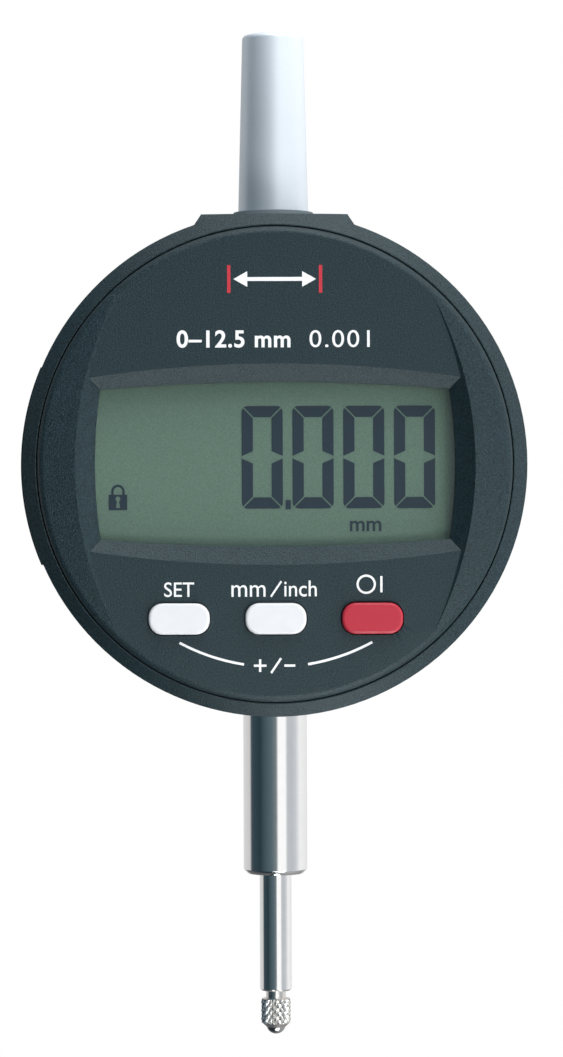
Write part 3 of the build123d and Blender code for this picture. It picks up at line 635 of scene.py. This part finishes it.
def spindle():
    """The ground spindle with a drilled lower end for the contact point's stud."""
    chamfer, edge = 0.2, 0.05
    drill_end = STUD_END_Z + 0.5
    profile = [(0.0, drill_end), (STUD_R, drill_end), (STUD_R, SPINDLE_END_Z)]
    profile += [(SPINDLE_R - chamfer, SPINDLE_END_Z), (SPINDLE_R - edge, SPINDLE_END_Z + chamfer - edge)]
    profile += [(SPINDLE_R, SPINDLE_END_Z + chamfer), (SPINDLE_R, SPINDLE_TOP_Z - chamfer)]
    profile += [(SPINDLE_R - chamfer, SPINDLE_TOP_Z), (0.0, SPINDLE_TOP_Z)]
    turned_piece("spindle_ground", profile, "plunger", "spindle_steel", "spindle")


def contact_point():
    """The screw-in contact point: waisted neck, diamond-knurled grip and a cupped seat for the ball."""
    edge, stud_chamfer, seat_gap = 0.1, 0.15, 0.01
    neck_end = SPINDLE_END_Z - TIP_NECK_LENGTH
    body_end = neck_end - KNURL_LENGTH
    ball_r = (BALL_TOP_Z - BALL_END_Z) / 2
    ball_z = (BALL_TOP_Z + BALL_END_Z) / 2
    rows = 110
    profile = [(0.0, STUD_END_Z), (STUD_R - stud_chamfer, STUD_END_Z), (STUD_R, STUD_END_Z - stud_chamfer)]
    profile += [(STUD_R, SPINDLE_END_Z), (TIP_NECK_R, SPINDLE_END_Z), (TIP_NECK_R, neck_end + edge)]
    profile.append((KNURL_R - edge, neck_end))
    for i in range(rows + 1):
        profile.append((KNURL_R, neck_end - edge - (KNURL_LENGTH - 2 * edge) * i / rows))
    profile.append((KNURL_R - edge, body_end))
    seat_deg = math.degrees(math.asin((SEAT_END_Z - ball_z) / ball_r))
    profile += round_points(0.0, ball_z, ball_r + seat_gap, seat_deg, 89.9, 12)
    profile.append((0.0, ball_z + ball_r + seat_gap))

    def knurl(radius, z, angle):
        if radius < KNURL_R - 1e-6:
            return radius
        turn = KNURL_COUNT * angle / (2 * math.pi)
        lift = (z - body_end) / KNURL_PITCH
        groove = max(abs(2 * ((turn + way * lift) % 1.0) - 1) for way in (-1, 1))
        return radius - KNURL_DEPTH * max(0.0, (groove - KNURL_FLAT) / (1 - KNURL_FLAT))

    turned_piece("contact_point_knurled", profile, "plunger", "tip_steel", "contact_point",
                 steps=KNURL_COUNT * 24, shape=knurl)


def contact_ball():
    radius, centre = (BALL_TOP_Z - BALL_END_Z) / 2, (BALL_TOP_Z + BALL_END_Z) / 2
    profile = [(0.0, BALL_END_Z)]
    profile += round_points(0.0, centre, radius, -88, 88, 62)
    profile.append((0.0, BALL_TOP_Z))
    turned_piece("contact_ball_polished", profile, "plunger", "ball_steel", "contact_ball", steps=128)


def return_spring():
    """The return spring, built at one fixed length; the real one shortens as the plunger rises."""
    wire_r, turns, per_turn, around = 0.2, 16, 40, 10
    coil_r = in_mm(SPRING_HI.x - SPRING_LO.x) / 2 - wire_r
    z0, z1 = in_mm(SPRING_LO.z) + wire_r, in_mm(SPRING_HI.z) - wire_r
    bm = bmesh.new()
    rings = []
    for i in range(turns * per_turn + 1):
        share = i / (turns * per_turn)
        angle = 2 * math.pi * turns * share
        out = Vector((math.cos(angle), math.sin(angle), 0))
        centre = out * coil_r + Vector((0, 0, z0 + (z1 - z0) * share))
        ring = []
        for k in range(around):
            a = 2 * math.pi * k / around
            point = centre + out * wire_r * math.cos(a) + Vector((0, 0, wire_r * math.sin(a)))
            ring.append(bm.verts.new(point * MM))
        rings.append(ring)
    for low, high in zip(rings, rings[1:]):
        for k in range(around):
            bm.faces.new([low[k], low[(k + 1) % around], high[(k + 1) % around], high[k]])
    bm.faces.new(rings[0])
    bm.faces.new(list(reversed(rings[-1])))
    mesh = mesh_from(bm, "return_spring_coil")
    piece = new_piece("return_spring_coil", mesh, "case_body", "spring_steel", stands_for=["return_spring"])
    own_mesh(piece)


# ==== display =================================================================================
def digit_segments(x, z):
    """The six lit segments of a zero, mitred, with rounded outer corners, centred on (x, z)."""
    half_w, half_h = DIGIT_W / 2, DIGIT_H / 2
    middle_gap, notch_height = 0.15, 0.76
    mitre = SEGMENT_GAP * math.sqrt(0.5)
    turn = math.degrees(math.asin(mitre / (math.sqrt(2) * DIGIT_CORNER_R)))
    corner = (DIGIT_CORNER_R - half_w, half_h - DIGIT_CORNER_R)
    inner_x, inner_z = SEGMENT - half_w, half_h - SEGMENT
    flat = round_points(*corner, DIGIT_CORNER_R, 135 - turn, 90, 5)
    flat = [(inner_x + mitre, inner_z)] + flat
    flat += [(-px, pz) for px, pz in reversed(flat)]
    upright = round_points(*corner, DIGIT_CORNER_R, 135 + turn, 180, 5)
    upright += [(-half_w, middle_gap), (inner_x, notch_height), (inner_x, inner_z - mitre)]
    outlines = []
    for up in (-1, 1):
        outlines.append([(x + px, z + up * pz) for px, pz in flat])
        for side in (-1, 1):
            outlines.append([(x + side * px, z + up * pz) for px, pz in upright])
    return outlines


def padlock_outlines(x, z):
    """A small padlock: the body in two halves round a keyhole, and a shackle."""
    half_w, body_top, body_bottom = 1.14, 0.35, -1.55
    hole_r, hole_z, slot_half_w, slot_half_w_top, slot_bottom = 0.3, -0.18, 0.24, 0.13, -1.28
    shackle_r, shackle_rise, shackle_width = 0.68, 0.4, 0.28
    outlines = []
    for side in (-1, 1):
        half = [(x, z + body_top), (x + side * half_w, z + body_top), (x + side * half_w, z + body_bottom)]
        half += [(x, z + body_bottom), (x, z + slot_bottom), (x + side * slot_half_w, z + slot_bottom)]
        half.append((x + side * slot_half_w_top, z + hole_z - hole_r))
        for px, pz in round_points(0.0, hole_z, hole_r, -60, 90):
            half.append((x + side * px, z + pz))
        outlines.append(half)
    shackle = [(x + shackle_r, z + body_top)]
    shackle += arc_points(shackle_r, 0, 180, (x, z + body_top + shackle_rise), 20)
    shackle.append((x - shackle_r, z + body_top))
    outlines.append(strip_outline(shackle, shackle_width))
    return outlines


def display_figures():
    """The lit figures of the display: 0.000, a unit and a padlock, in the gap behind the window."""
    gap = 0.01
    front_y = LENS_BACK_Y + gap
    thick = (LCD_Y - LENS_BACK_Y) - 2 * gap
    outlines = [rectangle(POINT_X, POINT_Z, 0.325, 0.585)]
    for i in range(DIGIT_COUNT):
        outlines += digit_segments(DIGIT_FIRST_X + i * DIGIT_PITCH, DIGIT_Z)
    figures = {
        "lcd_digits": slab("lcd_digits", outlines, front_y, thick),
        "lcd_unit": lettering("lcd_unit", "mm", 1.3, UNIT_X, UNIT_Z, front_y, thick, bold=0.015),
        "lcd_padlock": slab("lcd_padlock", padlock_outlines(PADLOCK_X, PADLOCK_Z), front_y, thick),
    }
    for name, mesh in figures.items():
        new_piece(name, mesh, "display_head", "lcd", "segment")


# ==== printing on the front ===================================================================
def travel_mark(z):
    """The outlines of a double arrow and of its two stops, a generic sign for a length measured."""
    tip, head, head_half_h, shaft_half_h = 5.05, 1.7, 0.95, 0.24
    stop_x, stop_half_w, stop_half_h = 5.6, 0.2, 1.7
    half = [(head - tip, shaft_half_h), (head - tip, head_half_h), (-tip, 0.0)]
    half += [(head - tip, -head_half_h), (head - tip, -shaft_half_h)]
    arrow = [(px, z + pz) for px, pz in half] + [(-px, z - pz) for px, pz in half]
    stops = [rectangle(side * stop_x, z, stop_half_w, stop_half_h) for side in (-1, 1)]
    return [arrow], stops


def plus_outline(x, z, half_length, half_thick):
    """A plus sign as one closed outline: each arm's three corners, turned four times."""
    arm = [(half_length, half_thick), (half_thick, half_thick), (half_thick, half_length)]
    outline = []
    for turns in range(4):
        for px, pz in arm:
            for _ in range(turns):
                px, pz = -pz, px
            outline.append((x + px, z + pz))
    return outline


def power_sign():
    """A ring and a bar, the generic on and off sign."""
    outlines = ring_outlines(1.05, PRINT_LINE, (POWER_RING_X, POWER_Z))
    outlines.append(rectangle(POWER_BAR_X, POWER_Z, 0.14, 1.0))
    return outlines


def plus_minus_sign():
    return [
        plus_outline(-1.94, SIGN_Z, 0.77, 0.14),
        strip_outline([(-0.6, SIGN_Z - 0.9), (0.62, SIGN_Z + 0.9)], PRINT_LINE),
        rectangle(1.68, SIGN_Z, 0.66, 0.14),
    ]


def front_printing():
    """Key labels, the bracket under the keys, and the range and its sign above the display."""
    y = BAND_Y - PRINT_THICK
    arrow, stops = travel_mark(TRAVEL_MARK_Z)
    flat_prints = {
        "mark_arrow": arrow,
        "mark_stops": stops,
        "label_stroke": [strip_outline([(-0.6, LABEL_Z - 0.88), (0.68, LABEL_Z + 1.0)], 0.24)],
        "label_power": power_sign(),
        "label_bracket": [strip_outline(arc_points(BRACKET_R, *arc), 0.3) for arc in BRACKET_ARCS],
        "label_sign": plus_minus_sign(),
    }
    letter_prints = {
        "label_set": ("SET", 1.8, KEY_XS[0], LABEL_Z + 0.02, {"bold": 0.004, "squeeze": 0.95}),
        "label_mm": ("mm", 1.42, MM_LABEL_X, LABEL_Z - 0.17, {"bold": 0.002, "squeeze": 0.95}),
        "label_inch": ("inch", 1.95, INCH_LABEL_X, LABEL_Z + 0.1, {"bold": 0.004, "squeeze": 0.92}),
        "label_range": ("0–12.5 mm", 2.15, RANGE_X, RANGE_Z, {"bold": 0.022, "spacing": 1.08}),
        "label_resolution": ("0.001", 2.1, RESOLUTION_X, RANGE_Z, {"spacing": 1.12, "squeeze": 1.1}),
    }
    prints = {name: slab(name, outlines, y, PRINT_THICK) for name, outlines in flat_prints.items()}
    for name, (text, height, x, z, style) in letter_prints.items():
        prints[name] = lettering(name, text, height, x, z, y, **style)
    for name, mesh in prints.items():
        colour = "print_red" if name == "mark_stops" else "print_white"
        new_piece(name, mesh, "display_head", "head_plastic", colour)


# ==== stage, light and camera =================================================================
def pale_floor():
    """A plain pale floor, well clear of the contact point.  Only the camera sees it."""
    lowest = Matrix.Translation((0, 0, cad_box[0].z - FLOOR_DROP * MM))
    bm = bmesh.new()
    bmesh.ops.create_circle(bm, cap_ends=True, segments=96, radius=0.5, matrix=lowest)
    floor = bpy.data.objects.new("floor", mesh_from(bm, "floor"))
    bpy.context.scene.collection.objects.link(floor)
    floor.visible_diffuse = floor.visible_glossy = floor.visible_transmission = floor.visible_shadow = False
    material, g = new_graph("floor_pale")
    g.finish(g.add("ShaderNodeEmission", {"Color": (1, 1, 1, 1), "Strength": 1.0}).outputs[0])
    floor.data.materials.append(material)


def studio_world():
    """White to the camera; to the object, a light tent with a dark card at the left front.

    Each ring gives the light by azimuth in degrees, 0 at the front and 90 at the right."""
    world = bpy.data.worlds.new("studio")
    bpy.context.scene.world = world
    world.use_nodes = True
    g = Graph(world.node_tree)
    along = g.add("ShaderNodeTexCoord").outputs["Generated"]
    split = g.add("ShaderNodeSeparateXYZ", {"Vector": along})
    turn = g.math("ARCTAN2", split.outputs["X"], g.math("MULTIPLY", split.outputs["Y"], -1.0))
    turn = g.math("ADD", g.math("DIVIDE", turn, 2 * math.pi), 0.5)
    levels = {
        -180: 0.75, -106: 0.60, -97: (0.050, 0.075, 0.090), -82: (0.034, 0.057, 0.072),
        -57: (0.022, 0.043, 0.050), -41: (0.052, 0.082, 0.098), -12: (0.098, 0.140, 0.164),
        4: (0.180, 0.213, 0.220), 10: 1.0, 37: 1.0, 43: (0.53, 0.555, 0.567), 62: (0.51, 0.536, 0.575),
        79: (0.60, 0.615, 0.64), 99: 0.90, 124: 0.86, 180: 0.75,
    }
    above = {
        -180: 0.5, -110: (0.10, 0.16, 0.22), -30: (0.16, 0.24, 0.31), 20: (0.55, 0.64, 0.70), 60: 0.95,
        120: 0.9, 180: 0.5,
    }
    below = {
        -180: 0.2, -110: (0.02, 0.03, 0.04), -20: (0.03, 0.045, 0.055), 20: (0.09, 0.12, 0.14),
        60: (0.38, 0.43, 0.46), 120: 0.4, 180: 0.2,
    }
    band, high, low = (
        g.ramp(turn, [(azimuth / 360 + 0.5, level) for azimuth, level in ring.items()])
        for ring in (levels, above, below)
    )
    up = split.outputs["Z"]
    light = g.mix(g.spread(up, 0.0, 1.0, 0.2, 0.5), band, high)
    light = g.mix(g.spread(up, 0.0, 1.0, -0.2, -0.5), light, low)
    light = g.mix(g.spread(up, 0.0, 1.0, 0.72, 0.9), light, (1.0, 1.0, 1.0, 1.0))
    seen = g.add("ShaderNodeLightPath").outputs["Is Camera Ray"]
    light = g.mix(seen, light, (1.0, 1.0, 1.0, 1.0))
    shader = g.add("ShaderNodeBackground", {"Color": light, "Strength": 1.0})
    g.add("ShaderNodeOutputWorld", {"Surface": shader.outputs[0]})


def soft_lamp(name, azimuth, elevation, distance, size, watts, mirrored=True):
    """A square soft box that faces the case centre; azimuth 0 is the front, 90 the right.

    One that isn't mirrored lights the part without showing in the ground steel."""
    lamp = bpy.data.lights.new(name, "AREA")
    lamp.size = size
    lamp.energy = watts
    item = bpy.data.objects.new(name, lamp)
    bpy.context.scene.collection.objects.link(item)
    item.visible_glossy = mirrored
    a, e = math.radians(azimuth), math.radians(elevation)
    towards = Vector((math.sin(a) * math.cos(e), -math.cos(a) * math.cos(e), math.sin(e)))
    item.location = Vector((0, 0, CENTRE_Z * MM)) + towards * distance
    item.rotation_euler = (-towards).to_track_quat("-Z", "Y").to_euler()


def front_camera():
    """A long lens, almost square to the face, from just left of it and just above."""
    data = bpy.data.cameras.new("camera")
    data.sensor_width = 36.0
    data.lens = CAMERA_LENS
    data.clip_start, data.clip_end = 0.01, 10.0
    camera = bpy.data.objects.new("camera", data)
    bpy.context.scene.collection.objects.link(camera)
    azimuth, elevation, roll = math.radians(-0.75), math.radians(0.4), math.radians(-0.2)
    target = Vector((CAMERA_TARGET_X, 0.0, CENTRE_Z - CAMERA_TARGET_BELOW)) * MM
    flat = math.cos(elevation)
    towards = Vector((math.sin(azimuth) * flat, -math.cos(azimuth) * flat, math.sin(elevation)))
    camera.location = target + towards * CAMERA_DISTANCE * MM
    facing = (-towards).to_track_quat("-Z", "Y")
    camera.rotation_mode = "QUATERNION"
    camera.rotation_quaternion = facing @ Matrix.Rotation(roll, 4, "Z").to_quaternion()
    bpy.context.scene.camera = camera


dress_cad_nodes()
guard_cap()
clamping_stem()
spindle()
contact_point()
contact_ball()
return_spring()
display_figures()
front_printing()
pale_floor()
studio_world()
soft_lamp("side_lamp", azimuth=60, elevation=-4, distance=0.6, size=0.35, watts=1.3, mirrored=False)
soft_lamp("top_lamp", azimuth=34, elevation=62, distance=0.6, size=0.35, watts=2.0, mirrored=False)
soft_lamp("rim_lamp", azimuth=22, elevation=66, distance=0.6, size=0.3, watts=0.9)
soft_lamp("under_lamp", azimuth=80, elevation=-62, distance=0.4, size=0.25, watts=0.7, mirrored=False)
soft_lamp("low_rim_lamp", azimuth=26, elevation=-66, distance=0.4, size=0.2, watts=0.55)
soft_lamp("front_lamp", azimuth=10, elevation=-32, distance=0.35, size=0.12, watts=0.31)
front_camera()
bpy.context.scene.view_settings.view_transform = "Standard"
